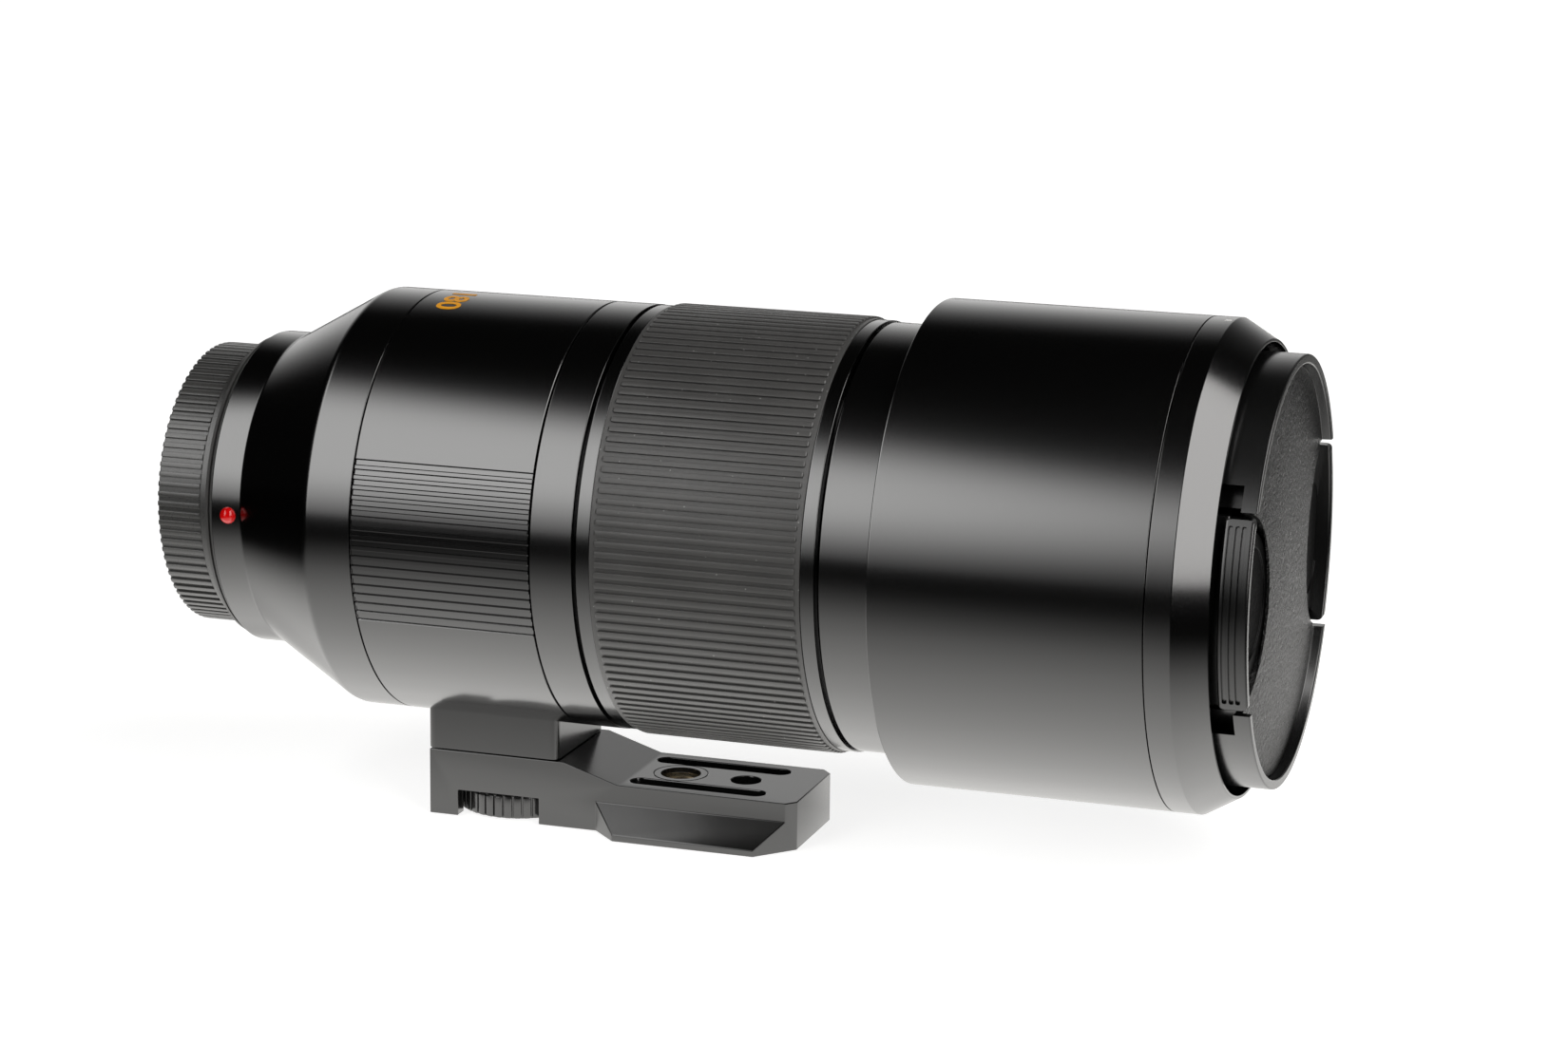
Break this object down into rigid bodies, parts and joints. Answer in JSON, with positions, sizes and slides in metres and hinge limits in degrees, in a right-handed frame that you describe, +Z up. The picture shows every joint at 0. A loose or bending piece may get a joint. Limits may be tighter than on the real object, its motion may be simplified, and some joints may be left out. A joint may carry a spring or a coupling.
{
  "type": "camera zoom lens",
  "caption": "Telephoto zoom lens with a turning tripod collar and dovetail foot, ribbed rubber zoom ring, hood stowed backwards, rear cap and pinch front cap, with its zoom cam inside.",
  "frame": {"origin": "centre of the bayonet flange's face, on the optical axis", "axes": "+X along the optical axis towards the subject, +Z up away from the tripod foot, -Y is the side with the red index bead and the grip grooves of the collar"},
  "size_m": [0.2324, 0.1042, 0.1139],
  "materials": {
    "black_anodised": "satin black anodised",
    "hood_black": "fine-grained black anodised",
    "ribbed_rubber": "moulded ribs, matt",
    "cap_plastic": "moulded, fine texture",
    "mount_steel": "turned and plated",
    "screw_steel": "plain",
    "inner_alloy": "plain turned",
    "brass": "turned",
    "red_bead": "glossy",
    "coated_glass": "coated",
    "board_green": "lacquered board",
    "copper": "enamelled copper wire"
  },
  "bodies": {
    "barrel": {"bayonet_mount": "mount_steel", "mount_screws": "screw_steel", "contact_block": "cap_plastic", "contact_pins": "brass", "mount_seal": "ribbed_rubber", "rear_baffle": "cap_plastic", "rear_barrel": "black_anodised", "index_bead": "red_bead", "main_barrel": "black_anodised", "mid_ring": "black_anodised", "front_barrel": "black_anodised", "filter_ring": "black_anodised", "front_cell": "black_anodised", "front_lens": "coated_glass", "second_lens": "coated_glass", "front_retainer": "black_anodised", "rear_cell": "black_anodised", "rear_lens": "coated_glass", "circuit_board": "board_green", "focus_rods": "screw_steel", "focus_magnets": "screw_steel", "relay_cell": "black_anodised", "relay_lens": "coated_glass", "iris_base": "black_anodised", "iris_blades": "cap_plastic", "iris_cover": "black_anodised", "guide_tube": "inner_alloy", "cam_retainer": "inner_alloy"},
    "collar": {"tripod_collar": "black_anodised", "tripod_foot": "black_anodised", "thread_insert": "screw_steel", "foot_dowels": "screw_steel"},
    "foot_wheel": {"foot_wheel": "black_anodised", "foot_screw": "screw_steel"},
    "lock_knob": {"lock_knob": "black_anodised", "lock_screw": "screw_steel"},
    "zoom": {"zoom_sleeve": "black_anodised", "zoom_grip": "ribbed_rubber", "cam_barrel": "inner_alloy", "zoom_key": "screw_steel"},
    "variator": {"variator_cell": "black_anodised", "variator_lens": "coated_glass", "variator_rollers": "brass"},
    "compensator": {"compensator_cell": "black_anodised", "compensator_lens": "coated_glass", "compensator_rollers": "brass"},
    "focus_ring": {"focus_sleeve": "black_anodised", "focus_grip": "ribbed_rubber"},
    "focus_group": {"focus_cell": "black_anodised", "focus_lens": "coated_glass", "focus_coils": "copper"},
    "hood": {"hood_tube": "hood_black", "hood_ring": "hood_black"},
    "rear_cap": {"rear_cap": "cap_plastic"},
    "front_cap": {"cap_body": "cap_plastic", "cap_spring_near": "screw_steel", "cap_spring_far": "screw_steel"},
    "cap_latch_near": {"cap_latch_near": "cap_plastic"},
    "cap_latch_far": {"cap_latch_far": "cap_plastic"}
  },
  "joints": [
    {"name": "collar_turn", "type": "hinge", "parent": "barrel", "child": "collar", "pos_m": [0.0574, 0, 0], "axis": [1, 0, 0], "continuous": true},
    {"name": "foot_wheel_spin", "type": "hinge", "parent": "collar", "child": "foot_wheel", "pos_m": [0.0574, 0, -0.062], "axis": [0, 0, 1], "continuous": true},
    {"name": "lock_knob_turn", "type": "hinge", "parent": "collar", "child": "lock_knob", "pos_m": [0.0574, 0.05, 0], "axis": [0, 1, 0], "range_deg": [0, 270]},
    {"name": "zoom_ring_turn", "type": "hinge", "parent": "barrel", "child": "zoom", "pos_m": [0.1114, 0, 0], "axis": [1, 0, 0], "range_deg": [0, 80]},
    {"name": "variator_slide", "type": "slide", "parent": "barrel", "child": "variator", "axis": [1, 0, 0], "range_m": [-0.0301, 0]},
    {"name": "compensator_slide", "type": "slide", "parent": "barrel", "child": "compensator", "axis": [1, 0, 0], "range_m": [0, 0.0121]},
    {"name": "focus_ring_turn", "type": "hinge", "parent": "barrel", "child": "focus_ring", "pos_m": [0.1704, 0, 0], "axis": [1, 0, 0], "continuous": true},
    {"name": "focus_group_slide", "type": "slide", "parent": "barrel", "child": "focus_group", "axis": [1, 0, 0], "range_m": [-0.005, 0.005]},
    {"name": "hood_twist", "type": "hinge", "parent": "barrel", "child": "hood", "pos_m": [0.2024, 0, 0], "axis": [1, 0, 0], "range_deg": [0, 60]},
    {"name": "rear_cap_twist", "type": "hinge", "parent": "barrel", "child": "rear_cap", "pos_m": [-0.005, 0, 0], "axis": [1, 0, 0], "range_deg": [0, 45]},
    {"name": "front_cap_pull", "type": "slide", "parent": "barrel", "child": "front_cap", "axis": [1, 0, 0], "range_m": [0, 0.025]},
    {"name": "cap_latch_near_press", "type": "slide", "parent": "front_cap", "child": "cap_latch_near", "axis": [0, 1, 0], "range_m": [0, 0.0025], "stiffness_N_per_m": 600, "springref_m": -0.001, "deforming": ["cap_spring_near"]},
    {"name": "cap_latch_far_press", "type": "slide", "parent": "front_cap", "child": "cap_latch_far", "axis": [0, -1, 0], "range_m": [0, 0.0025], "stiffness_N_per_m": 600, "springref_m": -0.001, "deforming": ["cap_spring_far"]}
  ],
  "couplings": [
    {"joint": "variator_slide", "follows": "zoom_ring_turn", "m_per_rad": -0.021486},
    {"joint": "compensator_slide", "follows": "zoom_ring_turn", "m_per_rad": 0.0085944}
  ]
}
